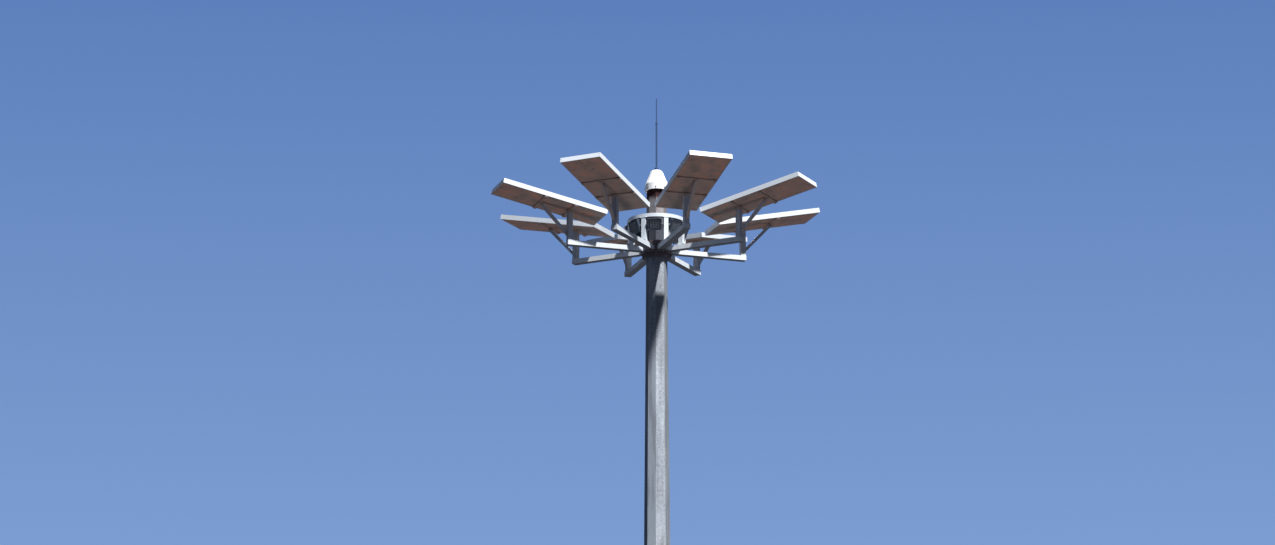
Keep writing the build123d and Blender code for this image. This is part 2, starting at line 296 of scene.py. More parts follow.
def facet_place(turn, height):
    # z points out of the shaft's face, y runs up along it.
    flats = TOP_FLATS + NARROWING * (MAST_TOP - height)
    if height < SLIP_START:
        flats -= 2 * (UPPER_WALL + SLIP_GAP)
    sloped = turned(Matrix.Translation((flats / 2, 0, height)), atan(-NARROWING / 2), "Y")
    return facing_out(mast_place(turn) @ sloped)


def facet_radius(height):
    return facet_place(0, height).translation.x


def underside(radius):
    return (radius - PANEL_START) * tan(PANEL_TILT)


def finish_piece(name, bm, material, smooth=False):
    mesh = bpy.data.meshes.new(name)
    bm.to_mesh(mesh)
    bm.free()
    if smooth:
        mesh.shade_smooth()
        mesh.set_sharp_from_angle(angle=BREAK_ANGLE)
    piece = bpy.data.objects.new(name, mesh)
    bpy.context.scene.collection.objects.link(piece)
    mesh.materials.append(material)
    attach(piece, "root")
    return piece


def edges_of(verts):
    return list({edge for vert in verts for edge in vert.link_edges})


def bevel_edges(bm, edges, width, segments):
    bmesh.ops.bevel(
        bm,
        geom=edges,
        offset=width,
        affect="EDGES",
        segments=segments,
        profile=0.5,
        material=-1,
    )


def add_plate(bm, place, size, edge=0.0):
    # A block of the given size, centred on the place and standing on its z = 0 plane.
    stand = Matrix.Translation((0, 0, size[2] / 2)) @ Matrix.Diagonal((*size, 1))
    made = bmesh.ops.create_cube(bm, size=1, matrix=place @ stand)
    if edge:
        bevel_edges(bm, edges_of(made["verts"]), edge, segments=2)


def add_disc(bm, place, radius, height, sides=16, edge=0.0):
    # A disc or prism that stands on the place's z = 0 plane, with its upper rim chamfered.
    made = bmesh.ops.create_cone(
        bm,
        cap_ends=True,
        segments=sides,
        radius1=radius,
        radius2=radius,
        depth=height,
        matrix=shifted(place, z=height / 2),
    )
    if edge:
        top = place @ Vector((0, 0, height))
        way = (place.to_3x3() @ Vector((0, 0, 1))).normalized()
        rim = [
            line
            for line in edges_of(made["verts"])
            if all(abs((vert.co - top).dot(way)) < 1e-5 for vert in line.verts)
        ]
        bevel_edges(bm, rim, edge, segments=1)


def add_bolt(bm, place, across):
    # A hexagon head of the given width across its flats, on a round washer.
    washer = across * WASHER_SHARE
    radius = across / 2 / cos(pi / 6)
    add_disc(bm, place, across, washer)
    head = shifted(place, z=washer)
    add_disc(bm, head, radius, across * HEAD_SHARE, sides=6, edge=across * HEAD_EDGE_SHARE)


def add_bead(bm, place, start, end, radius):
    # A straight weld bead between two points of the place.
    start = place @ Vector(start)
    end = place @ Vector(end)
    run = end - start
    along = Matrix.Translation(start) @ run.to_track_quat("Z", "Y").to_matrix().to_4x4()
    add_disc(bm, along, radius, run.length, sides=8)


def add_ring(bm, place, radius, tube, sides):
    made = bmesh.ops.create_circle(
        bm,
        segments=8,
        radius=tube,
        matrix=turned(shifted(place, x=radius), pi / 2, "X"),
    )
    bmesh.ops.spin(
        bm,
        geom=made["verts"] + edges_of(made["verts"]),
        cent=place.translation,
        axis=place.to_3x3() @ Vector((0, 0, 1)),
        angle=2 * pi,
        steps=sides,
        use_merge=True,
    )
    bmesh.ops.recalc_face_normals(bm, faces=bm.faces)


def add_node(tree, kind, inputs=None, **settings):
    made = tree.nodes.new(kind)
    for key, value in settings.items():
        setattr(made, key, value)
    for key, value in (inputs or {}).items():
        if isinstance(value, bpy.types.NodeSocket):
            tree.links.new(value, made.inputs[key])
        else:
            made.inputs[key].default_value = value
    return made


def calc(tree, operation, first, second=0.0):
    return add_node(tree, "ShaderNodeMath", {0: first, 1: second}, operation=operation).outputs[0]


def object_place(tree):
    return add_node(tree, "ShaderNodeTexCoord").outputs["Object"]


def drawn_out(tree, share):
    # Object coordinates with their heights shortened, which draws a pattern out downwards.
    shape = {"Vector": object_place(tree), "Scale": (1, 1, share)}
    return add_node(tree, "ShaderNodeMapping", shape).outputs[0]


def noise(tree, vector, scale, detail, roughness=0.5):
    shape = {"Vector": vector, "Scale": scale, "Detail": detail, "Roughness": roughness}
    return add_node(tree, "ShaderNodeTexNoise", shape).outputs[0]


def mapped(tree, value, start, end, low=0.0, high=1.0, way="LINEAR"):
    # Turns the values from start to end into those from low to high.
    span = {"Value": value, "From Min": start, "From Max": end, "To Min": low, "To Max": high}
    return add_node(tree, "ShaderNodeMapRange", span, interpolation_type=way).outputs[0]


def scaled(tree, value, low, high):
    return mapped(tree, value, 0.0, 1.0, low, high)


def ramp(tree, value, start, end, high=1.0):
    # A soft rise from nothing at the start to the high value at the end.
    return mapped(tree, value, start, end, high=high, way="SMOOTHSTEP")


def mix_colours(tree, mask, first, second):
    made = add_node(tree, "ShaderNodeMix", {0: mask}, data_type="RGBA")
    for index, colour in ((6, first), (7, second)):
        if isinstance(colour, bpy.types.NodeSocket):
            tree.links.new(colour, made.inputs[index])
        else:
            made.inputs[index].default_value = (*colour, 1)
    return made.outputs[2]


def tint(tree, base, mask, most, colour):
    # Lays a colour over the base, up to the given share.
    return mix_colours(tree, scaled(tree, mask, 0.0, most), base, colour)


def new_group(name, inputs, outputs):
    group = bpy.data.node_groups.new(name, "ShaderNodeTree")
    for socket, value in inputs.items():
        made = group.interface.new_socket(socket, in_out="INPUT", socket_type="NodeSocketFloat")
        made.default_value = value
    for socket in outputs:
        group.interface.new_socket(socket, in_out="OUTPUT", socket_type="NodeSocketFloat")
    return group, group.nodes.new("NodeGroupInput"), group.nodes.new("NodeGroupOutput")


def weather_group():
    # Broad patches, run-down streaks and fine grain on Object coordinates.
    group, given, put = new_group(
        "weathering",
        {"Patch Scale": 1.2, "Streak Scale": 30.0, "Grain Scale": 220.0},
        ("Patches", "Streaks", "Grain"),
    )
    here = object_place(group)
    patches = noise(group, here, given.outputs["Patch Scale"], 6.0, 0.6)
    streaks = noise(group, drawn_out(group, 0.05), given.outputs["Streak Scale"], 4.0, 0.55)
    grain = noise(group, here, given.outputs["Grain Scale"], 3.0)
    group.links.new(mapped(group, patches, 0.35, 0.68), put.inputs["Patches"])
    group.links.new(mapped(group, streaks, 0.5, 0.75), put.inputs["Streaks"])
    group.links.new(grain, put.inputs["Grain"])
    return group


def spangle_group():
    # Crystals of a hot-dip zinc coat.
    group, given, put = new_group("zinc spangle", {"Scale": 70.0}, ("Crystals",))
    here = object_place(group)
    bent = add_node(group, "ShaderNodeTexNoise", {"Vector": here, "Scale": 40.0, "Detail": 2.0})
    warped = add_node(
        group,
        "ShaderNodeMix",
        {0: 0.03, 4: here, 5: bent.outputs["Color"]},
        data_type="VECTOR",
    )
    cells = add_node(
        group,
        "ShaderNodeTexVoronoi",
        {"Vector": warped.outputs[1], "Scale": given.outputs["Scale"]},
    )
    level = add_node(group, "ShaderNodeSeparateColor", {"Color": cells.outputs["Color"]})
    group.links.new(level.outputs[0], put.inputs["Crystals"])
    return group


WEATHER = weather_group()
SPANGLE = spangle_group()


def new_material(name, roughness, metallic=0.0, specular=0.5):
    mat = bpy.data.materials.new(name)
    mat.use_nodes = True
    shader = mat.node_tree.nodes["Principled BSDF"]
    shader.inputs["Roughness"].default_value = roughness
    shader.inputs["Metallic"].default_value = metallic
    shader.inputs["Specular IOR Level"].default_value = specular
    return mat, mat.node_tree, shader


def use_weather(tree, patch, streak, grain):
    # The masks Patches, Streaks and Grain, with the material's own scales.
    scales = {"Patch Scale": patch, "Streak Scale": streak, "Grain Scale": grain}
    return add_node(tree, "ShaderNodeGroup", scales, node_tree=WEATHER).outputs


def add_bump(tree, shader, height, strength, distance):
    shape = {"Height": height, "Strength": strength, "Distance": distance}
    made = add_node(tree, "ShaderNodeBump", shape)
    tree.links.new(made.outputs[0], shader.inputs["Normal"])


def distance_out(tree):
    # Distance from the mast's axis.
    level_share = {0: object_place(tree), 1: (1, 1, 0)}
    flat = add_node(tree, "ShaderNodeVectorMath", level_share, operation="MULTIPLY")
    size = add_node(tree, "ShaderNodeVectorMath", {0: flat.outputs[0]}, operation="LENGTH")
    return size.outputs["Value"]


def hub_height(tree):
    # Height from hub level.
    level = add_node(tree, "ShaderNodeSeparateXYZ", {0: object_place(tree)}).outputs[2]
    return calc(tree, "SUBTRACT", level, HUB)


def painted_underside_shade(tree, most):
    # A mask of faces that look down, for painted shade on them.
    normal = add_node(tree, "ShaderNodeNewGeometry").outputs["Normal"]
    down = add_node(tree, "ShaderNodeSeparateXYZ", {0: normal}).outputs[2]
    return ramp(tree, down, -0.35, -0.85, high=most)


def zinc_steel(
    name,
    bright,
    dull,
    streaked,
    metallic=0.45,
    roughness=(0.45, 0.7),
    stains_and_painted_light=None,
    below=UNDERSIDE_SHADE_GREY,
):
    # Spangled zinc with duller patches and run-down streaks, and painted shade on the lower faces.
    mat, tree, shader = new_material(name, 0.5, metallic)
    weather = use_weather(tree, patch=1.1, streak=26.0, grain=260.0)
    spangle = add_node(tree, "ShaderNodeGroup", {"Scale": 75.0}, node_tree=SPANGLE)
    crystals = spangle.outputs["Crystals"]
    base = tint(tree, bright, crystals, 0.6, dull)
    base = tint(tree, base, weather["Patches"], 0.75, dull)
    base = tint(tree, base, weather["Streaks"], 0.5, streaked)
    if stains_and_painted_light:
        base = stains_and_painted_light(tree, base, weather)
    # Painted shade: faces that look down are darkened towards the below colour.
    base = mix_colours(tree, painted_underside_shade(tree, 0.9), base, below)
    tree.links.new(base, shader.inputs["Base Color"])
    tree.links.new(scaled(tree, crystals, *roughness), shader.inputs["Roughness"])
    add_bump(tree, shader, weather["Grain"], strength=0.12, distance=0.001)
    return mat


def shaft_stains_and_painted_light(tree, base, weather):
    # Painted light on one face, run marks, painted shade on the neck and inside the ring, and rust
    # with painted shadow under the cap.
    height = hub_height(tree)
    # Painted light: the shaft's face towards the given direction is made paler below the head.
    normal = add_node(tree, "ShaderNodeNewGeometry").outputs["Normal"]
    sides = {0: normal, 1: PAINTED_LIGHT_FACING}
    facing = add_node(tree, "ShaderNodeVectorMath", sides, operation="DOT_PRODUCT")
    painted_light_face = ramp(tree, facing.outputs["Value"], 0.8, 0.95)
    under_head = ramp(tree, height, -1.0, -1.8, high=0.36)
    base = mix_colours(tree, calc(tree, "MULTIPLY", painted_light_face, under_head), base, PAINTED_LIGHT_ZINC)
    runs = noise(tree, drawn_out(tree, 0.12), 11.0, 5.0)
    base = mix_colours(tree, ramp(tree, runs, 0.5, 0.62, high=0.38), base, DARK_RUNS)
    base = mix_colours(tree, ramp(tree, runs, 0.48, 0.36, high=0.3), base, LIGHT_RUNS)
    # Painted shade on the neck between the panels and the cap.
    base = mix_colours(tree, ramp(tree, height, -0.05, 0.1, high=0.55), base, NECK_PAINTED_SHADE)
    # Painted shade on the shaft inside the ring.
    over_arms = ramp(tree, height, -0.4, -0.3)
    under_neck = ramp(tree, height, 0.05, -0.02, high=0.88)
    base = mix_colours(tree, calc(tree, "MULTIPLY", over_arms, under_neck), base, RING_PAINTED_SHADE)
    # Rust with a painted shadow under the cap's rim.
    broken = calc(tree, "ADD", height, scaled(tree, weather["Streaks"], -0.03, 0.03))
    return mix_colours(tree, ramp(tree, broken, 0.22, 0.29, high=0.98), base, CAP_RUST_AND_SHADOW)


def rust_at_foot(tree, base, weather):
    # Rust that creeps up from the ground over the flange and the stiffeners' feet.
    broken = calc(tree, "SUBTRACT", hub_height(tree), scaled(tree, weather["Patches"], -0.02, 0.12))
    low = ramp(tree, broken, 0.07 - HUB, -0.03 - HUB, high=0.85)
    spots = ramp(tree, noise(tree, object_place(tree), 30.0, 5.0), 0.45, 0.62)
    return mix_colours(tree, calc(tree, "MULTIPLY", low, spots), base, FOOT_RUST)


def rust_on_hub(tree, base, weather):
    return mix_colours(tree, scaled(tree, weather["Patches"], 0.65, 0.9), base, HUB_RUST)


def painted_warm_shade_near_panels(tree, base, weather):
    # Painted warm shade: rails and the struts' lower faces are brown, the posts stay grey below the
    # rails.
    reach = distance_out(tree)
    sheet = calc(tree, "MULTIPLY", calc(tree, "SUBTRACT", reach, PANEL_START), tan(PANEL_TILT))
    below_sheet = calc(tree, "SUBTRACT", sheet, hub_height(tree))
    rails = ramp(tree, below_sheet, 0.05, 0.02)
    past_post = ramp(tree, reach, ARM_END + 0.002, ARM_END + 0.008)
    struts = calc(tree, "MULTIPLY", past_post, painted_underside_shade(tree, 1.0))
    brown = calc(tree, "MAXIMUM", rails, struts)
    # Painted warm shade, darker on the faces that look down.
    warm_shade = mix_colours(tree, painted_underside_shade(tree, 1.0), RAIL_SIDE_WARM_SHADE, RAIL_UNDER_WARM_SHADE)
    return tint(tree, base, brown, 0.94, warm_shade)


def bare_aluminium():
    clean, dulled, dirt = (0.84, 0.9, 0.97), (0.72, 0.79, 0.86), (0.45, 0.43, 0.4)
    mat, tree, shader = new_material("panel frame aluminium", 0.45, 0.12)
    weather = use_weather(tree, patch=2.5, streak=60.0, grain=400.0)
    base = tint(tree, clean, weather["Patches"], 0.5, dulled)
    base = tint(tree, base, weather["Grain"], 0.12, dirt)
    # Painted shade on the frames' downward lips.
    base = mix_colours(tree, painted_underside_shade(tree, 0.9), base, LIP_PAINTED_SHADE)
    tree.links.new(base, shader.inputs["Base Color"])
    tree.links.new(scaled(tree, weather["Grain"], 0.34, 0.52), shader.inputs["Roughness"])
    add_bump(tree, shader, weather["Grain"], strength=0.08, distance=0.0005)
    return mat


def brown_back_sheet():
    # Brown film that turns redder towards the outer ends, mottled, with dark specks and dust.
    inner_end, outer_end = (0.27, 0.22, 0.2), (0.375, 0.225, 0.195)
    red_mottle, dark_mottle, speck = (0.5, 0.23, 0.16), (0.17, 0.155, 0.13), (0.12, 0.09, 0.08)
    dark_patch, dust = (0.19, 0.14, 0.13), (0.38, 0.28, 0.23)
    mat, tree, shader = new_material("brown back sheet", 0.55, 0.0, 0.3)
    weather = use_weather(tree, patch=3.2, streak=12.0, grain=320.0)
    here = object_place(tree)
    outward = mapped(tree, distance_out(tree), 0.8, 1.8, high=0.8)
    base = mix_colours(tree, outward, inner_end, outer_end)
    mottle = noise(tree, here, 8.0, 4.0, 0.65)
    base = mix_colours(tree, ramp(tree, mottle, 0.5, 0.66, high=0.75), base, red_mottle)
    base = mix_colours(tree, ramp(tree, mottle, 0.49, 0.34, high=0.7), base, dark_mottle)
    specks = noise(tree, here, 34.0, 2.0)
    base = mix_colours(tree, ramp(tree, specks, 0.62, 0.72, high=0.5), base, speck)
    base = tint(tree, base, weather["Patches"], 0.4, dark_patch)
    base = tint(tree, base, weather["Streaks"], 0.25, dust)
    tree.links.new(base, shader.inputs["Base Color"])
    tree.links.new(scaled(tree, weather["Grain"], 0.45, 0.7), shader.inputs["Roughness"])
    add_bump(tree, shader, weather["Grain"], strength=0.1, distance=0.0006)
    return mat


def conductor_mask(tree, value, middle):
    # A thin line along the cells, at the given share of their width.
    away = calc(tree, "ABSOLUTE", calc(tree, "SUBTRACT", value, middle))
    return mapped(tree, away, 0.006, 0.01, low=1.0, high=0.0)


def gap_mask(tree, value, half):
    # The gap between neighbouring cells, by half its width as a share of a cell.
    away = calc(tree, "ABSOLUTE", calc(tree, "SUBTRACT", value, 0.5))
    return mapped(tree, away, 0.5 - half, 0.5 - half / 2)


def cell_glass():
    # Dark cells behind glass, with pale gaps and conductor lines.
    cell, purple_cell = (0.012, 0.018, 0.045), (0.02, 0.026, 0.055)
    conductor, backing, dust = (0.35, 0.36, 0.38), (0.3, 0.31, 0.33), (0.45, 0.4, 0.34)
    mat, tree, shader = new_material("glass over dark cells", 0.12, 0.0, 0.5)
    shader.inputs["Coat Weight"].default_value = 0.6
    shader.inputs["Coat Roughness"].default_value = 0.04
    spread = add_node(tree, "ShaderNodeUVMap", uv_map="cells").outputs[0]
    counts = {0: spread, 1: (CELLS_ALONG, CELLS_ACROSS, 1)}
    grid = add_node(tree, "ShaderNodeVectorMath", counts, operation="MULTIPLY")
    inside = add_node(tree, "ShaderNodeVectorMath", {0: grid.outputs[0]}, operation="FRACTION")
    parts = add_node(tree, "ShaderNodeSeparateXYZ", {0: inside.outputs[0]})
    along, across = parts.outputs[0], parts.outputs[1]
    gaps = calc(tree, "MAXIMUM", gap_mask(tree, along, 0.022), gap_mask(tree, across, 0.014))
    first_line = conductor_mask(tree, across, 0.3)
    second_line = conductor_mask(tree, across, 0.7)
    weather = use_weather(tree, patch=2.0, streak=10.0, grain=150.0)
    base = tint(tree, cell, weather["Patches"], 1.0, purple_cell)
    base = tint(tree, base, calc(tree, "MAXIMUM", first_line, second_line), 0.8, conductor)
    base = mix_colours(tree, gaps, base, backing)
    base = tint(tree, base, weather["Patches"], 0.12, dust)
    tree.links.new(base, shader.inputs["Base Color"])
    tree.links.new(scaled(tree, weather["Grain"], 0.08, 0.2), shader.inputs["Roughness"])
    return mat


def white_paint():
    white, rain_mark, chalked = (0.92, 0.925, 0.93), (0.74, 0.74, 0.73), (0.82, 0.82, 0.81)
    mat, tree, shader = new_material("white cap paint", 0.4)
    weather = use_weather(tree, patch=7.0, streak=45.0, grain=180.0)
    base = tint(tree, white, weather["Streaks"], 0.3, rain_mark)
    base = tint(tree, base, weather["Patches"], 0.2, chalked)
    tree.links.new(base, shader.inputs["Base Color"])
    tree.links.new(scaled(tree, weather["Grain"], 0.32, 0.5), shader.inputs["Roughness"])
    add_bump(tree, shader, weather["Grain"], strength=0.05, distance=0.0008)
    return mat


def lamp_coat():
    dark, faded, dust = (0.03, 0.042, 0.075), (0.05, 0.066, 0.1), (0.18, 0.17, 0.17)
    mat, tree, shader = new_material("dark lamp coat", 0.5)
    weather = use_weather(tree, patch=9.0, streak=50.0, grain=900.0)
    base = tint(tree, dark, weather["Patches"], 0.8, faded)
    base = tint(tree, base, weather["Streaks"], 0.4, dust)
    tree.links.new(base, shader.inputs["Base Color"])
    tree.links.new(scaled(tree, weather["Grain"], 0.4, 0.62), shader.inputs["Roughness"])
    add_bump(tree, shader, weather["Grain"], strength=0.3, distance=0.0004)
    return mat


def light_lens():
    clear, smudged = (0.12, 0.14, 0.16), (0.07, 0.08, 0.1)
    mat, tree, shader = new_material("lamp lens", 0.12)
    shader.inputs["Coat Weight"].default_value = 0.5
    weather = use_weather(tree, patch=12.0, streak=60.0, grain=300.0)
    base = tint(tree, clear, weather["Grain"], 0.6, smudged)
    tree.links.new(base, shader.inputs["Base Color"])
    return mat


STEEL = zinc_steel(
    "zinc coated shaft steel",
    bright=(0.42, 0.465, 0.52),
    dull=(0.27, 0.305, 0.355),
    streaked=(0.22, 0.21, 0.21),
    metallic=0.8,
    roughness=(0.65, 0.85),
    stains_and_painted_light=shaft_stains_and_painted_light,
)
ARM_STEEL = zinc_steel(
    "bright arm steel",
    bright=(0.74, 0.8, 0.87),
    dull=(0.6, 0.66, 0.73),
    streaked=(0.45, 0.42, 0.4),
    metallic=0.15,
)
BASE_STEEL = zinc_steel(
    "base plate steel",
    bright=(0.42, 0.465, 0.52),
    dull=(0.27, 0.305, 0.355),
    streaked=(0.22, 0.21, 0.21),
    metallic=0.7,
    roughness=(0.6, 0.85),
    stains_and_painted_light=rust_at_foot,
)
HUB_STEEL = zinc_steel(
    "rusty hub steel",
    bright=(0.4, 0.42, 0.46),
    dull=(0.25, 0.25, 0.28),
    streaked=(0.2, 0.12, 0.1),
    metallic=0.2,
    stains_and_painted_light=rust_on_hub,
)
BRACKET_STEEL = zinc_steel(
    "weathered bracket steel",
    bright=(0.6, 0.64, 0.72),
    dull=(0.46, 0.5, 0.57),
    streaked=(0.17, 0.13, 0.12),
    metallic=0.15,
    stains_and_painted_light=painted_warm_shade_near_panels,
    # Brown painted warm shade on the downward faces.
    below=(0.26, 0.2, 0.18),
)
ROD_STEEL = zinc_steel(
    "dull rod steel",
    bright=(0.055, 0.11, 0.27),
    dull=(0.045, 0.09, 0.21),
    streaked=(0.04, 0.05, 0.08),
)
ZINC_BOLTS = zinc_steel(
    "bright zinc bolts",
    bright=(0.6, 0.6, 0.58),
    dull=(0.42, 0.42, 0.4),
    streaked=(0.3, 0.2, 0.13),
    metallic=0.7,
)
ALUMINIUM = bare_aluminium()
BACK_SHEET = brown_back_sheet()
CELLS = cell_glass()
CAP_PAINT = white_paint()
LAMP_COAT = lamp_coat()
LENS = light_lens()

# Finishes by how a node's name starts. The shaft, its door and the door's frame have STEEL.
FINISHES = {
    "panel_frame": ALUMINIUM,
    "panel_backs": BACK_SHEET,
    "panel_sheets": CELLS,
    "floodlight": LAMP_COAT,
    "cap": CAP_PAINT,
    "bracket": BRACKET_STEEL,
    "arm": ARM_STEEL,
    "upper_ring": ARM_STEEL,
    "head_hub": HUB_STEEL,
    "base": BASE_STEEL,
    "lightning_rod": ROD_STEEL,
}
for node_name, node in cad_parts.items():
    finish = next((mat for start, mat in FINISHES.items() if node_name.startswith(start)), STEEL)
    node.data.materials.clear()
    node.data.materials.append(finish)


def make_panel_glass():
    bm = bmesh.new()
    uv_layer = bm.loops.layers.uv.new("cells")
    length = PANEL_LENGTH - 2 * FRAME_WALL
    width = PANEL_WIDTH - 2 * FRAME_WALL
    level = PANEL_DEPTH - GLASS_DROP - GLASS_THICK
    for turn in ARM_TURNS:
        place = shifted(panel_place(turn), x=PANEL_LENGTH / 2, z=level)
        count = len(bm.faces)
        add_plate(bm, place, (length, width, GLASS_THICK))
        bm.faces.ensure_lookup_table()
        back = place.inverted()
        for face in bm.faces[count:]:
            for loop in face.loops:
                local = back @ loop.vert.co
                loop[uv_layer].uv = (local.x / length + 0.5, local.y / width + 0.5)
    panel_glass = finish_piece("panel_glass", bm, CELLS)
    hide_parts("panel_sheets")


def make_rail_clips():
    # Clips that hold the frames to the rails, and their bolts.
    clips, bolts = bmesh.new(), bmesh.new()
    for turn in ARM_TURNS:
        for rail in (INNER_RAIL, OUTER_RAIL):
            along = (rail - PANEL_START) / cos(PANEL_TILT)
            for side in (-1, 1):
                spot = shifted(panel_place(turn), along, side * (PANEL_WIDTH / 2 - CLIP_INSET))
                under = turned(shifted(spot, z=-RAIL_THICK), pi, "X")
                add_plate(clips, under, CLIP_SIZE, edge=PLATE_EDGE)
                add_bolt(bolts, shifted(under, z=CLIP_SIZE[2]), M8_HEAD)
    finish_piece("rail_clips", clips, BRACKET_STEEL)
    finish_piece("rail_clip_bolts", bolts, BRACKET_STEEL)


def make_frame_screws():
    # Corner screws in the frames' end walls.
    bm = bmesh.new()
    for turn in ARM_TURNS:
        for end, out in ((0.0, -1), (PANEL_LENGTH, 1)):
            for side in (-1, 1):
                y = side * (PANEL_WIDTH / 2 - FRAME_SCREW_INSET)
                for level in FRAME_SCREW_LEVELS:
                    spot = turned(shifted(panel_place(turn), end, y, level), out * pi / 2, "Y")
                    add_disc(bm, spot, *FRAME_SCREW, sides=10, edge=THIN_EDGE)
    finish_piece("frame_corner_screws", bm, ZINC_BOLTS)


def make_post_plates():
    # Foot and head plates of the inner posts, foot plates of the outer posts, arms' end plates.
    bm = bmesh.new()
    for turn in ARM_TURNS:
        arm = arm_place(turn)
        head = shifted(arm, x=POST_RADIUS, z=POST_TOP - POST_HEAD_PLATE[2])
        end = turned(shifted(arm, x=ARM_END, z=(ARM_BOTTOM + ARM_TOP) / 2), pi / 2, "Y")
        add_plate(bm, shifted(arm, x=POST_RADIUS, z=ARM_TOP), POST_FOOT_PLATE, edge=PLATE_EDGE)
        add_plate(bm, head, POST_HEAD_PLATE, edge=PLATE_EDGE)
        add_plate(bm, shifted(arm, x=OUTER_POST, z=ARM_TOP), OUTER_POST_PLATE, edge=PLATE_EDGE)
        add_plate(bm, end, ARM_END_PLATE, edge=END_PLATE_EDGE)
    finish_piece("post_plates", bm, ARM_STEEL)


def make_post_plate_bolts():
    # Four bolts through the foot plate of each inner post.
    bm = bmesh.new()
    out, aside = POST_FOOT_BOLTS
    for turn in ARM_TURNS:
        for x in (-out, out):
            for y in (-aside, aside):
                level = ARM_TOP + POST_FOOT_PLATE[2]
                add_bolt(bm, shifted(arm_place(turn), POST_RADIUS + x, y, level), M8_HEAD)
    finish_piece("post_plate_bolts", bm, ZINC_BOLTS)


def make_arm_beads():
    # Beads on the sleeve at both sides of each arm's root, and round the inner posts' feet.
    bm = bmesh.new()
    near, far = POST_RADIUS - POST_SIZE / 2, POST_RADIUS + POST_SIZE / 2
    half = POST_SIZE / 2
    level = ARM_TOP + POST_FOOT_PLATE[2] + POST_BEAD_RISE
    corners = ((near, -half, level), (far, -half, level), (far, half, level), (near, half, level))
    for turn in ARM_TURNS:
        arm = arm_place(turn)
        for y in (-ARM_WIDTH / 2, ARM_WIDTH / 2):
            low, high = (SLEEVE_FACE, y, ARM_BOTTOM), (SLEEVE_FACE, y, ARM_TOP)
            add_bead(bm, arm, low, high, BROAD_BEAD)
        for start, end in zip(corners, corners[1:] + corners[:1]):
            add_bead(bm, arm, start, end, FINE_BEAD)
    finish_piece("arm_weld_beads", bm, ARM_STEEL, smooth=True)


def make_collar_and_strut_bolts():
    # Bolts through the collar plates into the arms, and at both ends of the struts.
    bm = bmesh.new()
    radius = COLLAR_RADIUS - COLLAR_BOLT_INSET
    strut_foot = (ARM_END + STRUT_FOOT_OUT, ARM_TOP + STRUT_FOOT_RISE)
    strut_head = (OUTER_RAIL - STRUT_HEAD_IN, underside(OUTER_RAIL) - STRUT_HEAD_DROP)
    for turn in ARM_TURNS:
        arm = arm_place(turn)
        for y in (-COLLAR_BOLT_SPREAD, COLLAR_BOLT_SPREAD):
            top = shifted(arm, radius, y, ARM_TOP + COLLAR_THICK)
            low = shifted(arm, radius, y, ARM_BOTTOM - COLLAR_THICK)
            add_bolt(bm, top, M10_HEAD)
            add_bolt(bm, turned(low, pi, "X"), M10_HEAD)
        for x, z in (strut_foot, strut_head):
            for side in (-1, 1):
                spot = shifted(arm, x, side * STRUT_WIDTH / 2, z)
                add_bolt(bm, turned(spot, -side * pi / 2, "X"), M8_HEAD)
    finish_piece("collar_and_strut_bolts", bm, ZINC_BOLTS)


def make_lamp_bezels():
    # Four strips round each lamp's window.
    bm = bmesh.new()
    width, height = WINDOW_SIZE
    level_strip = (width + 2 * BEZEL_WIDTH, BEZEL_WIDTH, BEZEL_THICK)
    upright_strip = (BEZEL_WIDTH, height, BEZEL_THICK)
    for turn in CORNER_TURNS:
        front = lamp_front(turn)
        for side in (1, -1):
            spot = shifted(front, y=side * (height + BEZEL_WIDTH) / 2)
            add_plate(bm, spot, level_strip, edge=THIN_EDGE)
        for side in (1, -1):
            spot = shifted(front, x=side * (width + BEZEL_WIDTH) / 2)
            add_plate(bm, spot, upright_strip, edge=THIN_EDGE)
    finish_piece("lamp_bezels", bm, LAMP_COAT)


def make_lamp_yoke_bolts():
    # A pivot bolt at each side of a lamp, and two bolts that hang its yoke from the ring.
    bm = bmesh.new()
    for turn in CORNER_TURNS:
        hung = shifted(arm_place(turn), x=POST_RADIUS)
        for side in (-1, 1):
            pivot = shifted(hung, y=side * (LAMP_WIDTH / 2 + YOKE_THICK), z=LAMP_MIDDLE)
            under = shifted(hung, y=side * YOKE_BOLT_SPREAD, z=POST_TOP - YOKE_THICK)
            over = shifted(hung, y=side * YOKE_BOLT_SPREAD, z=POST_TOP + RING_HEIGHT)
            add_bolt(bm, turned(pivot, -side * pi / 2, "X"), M8_HEAD)
            add_bolt(bm, turned(under, pi, "X"), M6_HEAD)
            add_bolt(bm, over, M6_HEAD)
    finish_piece("lamp_yoke_bolts", bm, ZINC_BOLTS)


def make_lamp_lenses():
    # A field of small lenses on the floor of each lamp's window.
    bm = bmesh.new()
    middle = (LENSES_A_SIDE - 1) / 2
    for turn in CORNER_TURNS:
        window_floor = shifted(lamp_front(turn), z=-WINDOW_DEPTH)
        for column in range(LENSES_A_SIDE):
            for row in range(LENSES_A_SIDE):
                x = (column - middle) * LENS_PITCH[0]
                y = (row - middle) * LENS_PITCH[1]
                spot = shifted(window_floor, x, y)
                add_disc(bm, spot, *LENS_SIZE, sides=12, edge=BLOCK_EDGE)
    finish_piece("lamp_lenses", bm, LENS)


def make_lamp_screws():
    bm = bmesh.new()
    across, up = LAMP_SCREW_SPREAD
    for turn in CORNER_TURNS:
        for x in (-across, across):
            for y in (-up, up):
                spot = shifted(lamp_front(turn), x, y)
                add_disc(bm, spot, *LAMP_SCREW, sides=8, edge=THIN_EDGE)
    finish_piece("lamp_screws", bm, ZINC_BOLTS)


def make_cap_roll():
    # The rolled lower edge of the cap's rim.
    bm = bmesh.new()
    place = Matrix.Translation((0, 0, MAST_TOP - CAP_ROLL_DROP))
    add_ring(bm, place, CAP_ROLL_RADIUS, CAP_ROLL_TUBE, sides=64)
    finish_piece("cap_rim_roll", bm, CAP_PAINT, smooth=True)


